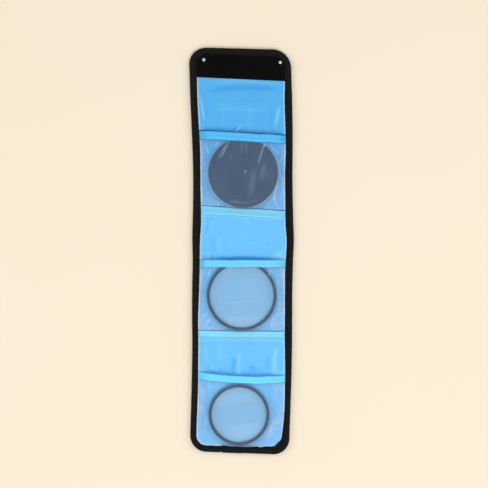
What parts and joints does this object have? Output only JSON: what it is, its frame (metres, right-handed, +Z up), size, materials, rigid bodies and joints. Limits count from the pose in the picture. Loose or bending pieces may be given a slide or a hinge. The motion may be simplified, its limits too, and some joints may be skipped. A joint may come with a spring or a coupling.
{
  "type": "lens filter case",
  "caption": "Long padded fabric wallet laid open flat, with clear pockets that each hold a round screw-in lens filter, and a hook-and-loop flap.",
  "frame": {"origin": "middle of the open case's outline, on the surface that it lies on", "axes": "+Z up out of the pockets, +Y along the case towards the flap, +X to the right with the flap away from the viewer"},
  "size_m": [0.1, 0.404, 0.0106],
  "materials": {
    "cover_cloth": "black woven nylon",
    "foam": "soft grey foam",
    "lining_cloth": "bright blue fine woven nylon",
    "binding_tape": "black ribbed edge tape",
    "clear_film": "clear flexible film",
    "blue_tape": "bright blue woven tape",
    "hook_tape": "black hook tape",
    "loop_tape": "black loop tape",
    "nickel": "bright nickel",
    "black_rim": "black anodised",
    "clear_glass": "clear coated glass",
    "dark_glass": "dark polarising glass"
  },
  "bodies": {
    "lower_panel": {"cover_lower_panel": "cover_cloth", "foam_lower_panel": "foam", "lining_lower_panel": "lining_cloth", "binding_lower_panel": "binding_tape", "pocket_film_lower": "clear_film", "mouth_tape_lower": "blue_tape"},
    "lower_spine": {"cover_lower_spine": "cover_cloth", "foam_lower_spine": "foam", "lining_lower_spine": "lining_cloth", "binding_lower_spine_left": "binding_tape", "binding_lower_spine_right": "binding_tape"},
    "middle_panel": {"cover_middle_panel": "cover_cloth", "foam_middle_panel": "foam", "lining_middle_panel": "lining_cloth", "binding_middle_panel_left": "binding_tape", "binding_middle_panel_right": "binding_tape", "pocket_film_middle": "clear_film", "mouth_tape_middle": "blue_tape", "seam_tape_middle": "blue_tape", "loop_strip": "loop_tape"},
    "upper_spine": {"cover_upper_spine": "cover_cloth", "foam_upper_spine": "foam", "lining_upper_spine": "lining_cloth", "binding_upper_spine_left": "binding_tape", "binding_upper_spine_right": "binding_tape"},
    "upper_panel": {"cover_upper_panel": "cover_cloth", "foam_upper_panel": "foam", "lining_upper_panel": "lining_cloth", "binding_upper_panel_left": "binding_tape", "binding_upper_panel_right": "binding_tape", "pocket_film_upper": "clear_film", "mouth_tape_upper": "blue_tape", "seam_tape_upper": "blue_tape"},
    "flap_spine": {"cover_flap_spine": "cover_cloth", "foam_flap_spine": "foam", "lining_flap_spine": "lining_cloth", "binding_flap_spine_left": "binding_tape", "binding_flap_spine_right": "binding_tape"},
    "flap": {"cover_flap": "cover_cloth", "foam_flap": "foam", "lining_flap": "lining_cloth", "binding_flap": "binding_tape", "hook_strip": "hook_tape", "eyelet_left": "nickel", "eyelet_right": "nickel", "washer_left": "nickel", "washer_right": "nickel"},
    "dark_filter": {"dark_filter_rim": "black_rim", "dark_filter_glass": "dark_glass", "dark_filter_retaining_ring": "black_rim"},
    "clear_filter": {"clear_filter_rim": "black_rim", "clear_filter_glass": "clear_glass", "clear_filter_retaining_ring": "black_rim"},
    "small_filter": {"small_filter_rim": "black_rim", "small_filter_glass": "clear_glass", "small_filter_retaining_ring": "black_rim"}
  },
  "joints": [
    {"name": "lower_spine_fold", "type": "hinge", "parent": "middle_panel", "child": "lower_spine", "pos_m": [0, -0.0969, 0.00485], "axis": [1, 0, 0], "range_deg": [-90, 0]},
    {"name": "lower_panel_fold", "type": "hinge", "parent": "lower_spine", "child": "lower_panel", "pos_m": [0, -0.109, 0.00485], "axis": [1, 0, 0], "range_deg": [-90, 0]},
    {"name": "upper_spine_fold", "type": "hinge", "parent": "middle_panel", "child": "upper_spine", "pos_m": [0, 0.0001, 0.00485], "axis": [-1, 0, 0], "range_deg": [-90, 0]},
    {"name": "upper_panel_fold", "type": "hinge", "parent": "upper_spine", "child": "upper_panel", "pos_m": [0, 0.0234, 0.00485], "axis": [-1, 0, 0], "range_deg": [-90, 0]},
    {"name": "flap_spine_fold", "type": "hinge", "parent": "upper_panel", "child": "flap_spine", "pos_m": [0, 0.1259, 0.00485], "axis": [-1, 0, 0], "range_deg": [-90, 0]},
    {"name": "flap_fold", "type": "hinge", "parent": "flap_spine", "child": "flap", "pos_m": [0, 0.1543, 0.00485], "axis": [-1, 0, 0], "range_deg": [-90, 0]},
    {"name": "dark_filter_slide", "type": "slide", "parent": "upper_panel", "child": "dark_filter", "axis": [0, 1, 0], "range_m": [0, 0.055]},
    {"name": "clear_filter_slide", "type": "slide", "parent": "middle_panel", "child": "clear_filter", "axis": [0, 1, 0], "range_m": [0, 0.042]},
    {"name": "small_filter_slide", "type": "slide", "parent": "lower_panel", "child": "small_filter", "axis": [0, 1, 0], "range_m": [0, 0.042]}
  ],
  "couplings": [
    {"joint": "lower_panel_fold", "follows": "lower_spine_fold", "ratio": 1},
    {"joint": "upper_panel_fold", "follows": "upper_spine_fold", "ratio": 1},
    {"joint": "flap_fold", "follows": "flap_spine_fold", "ratio": 1}
  ]
}
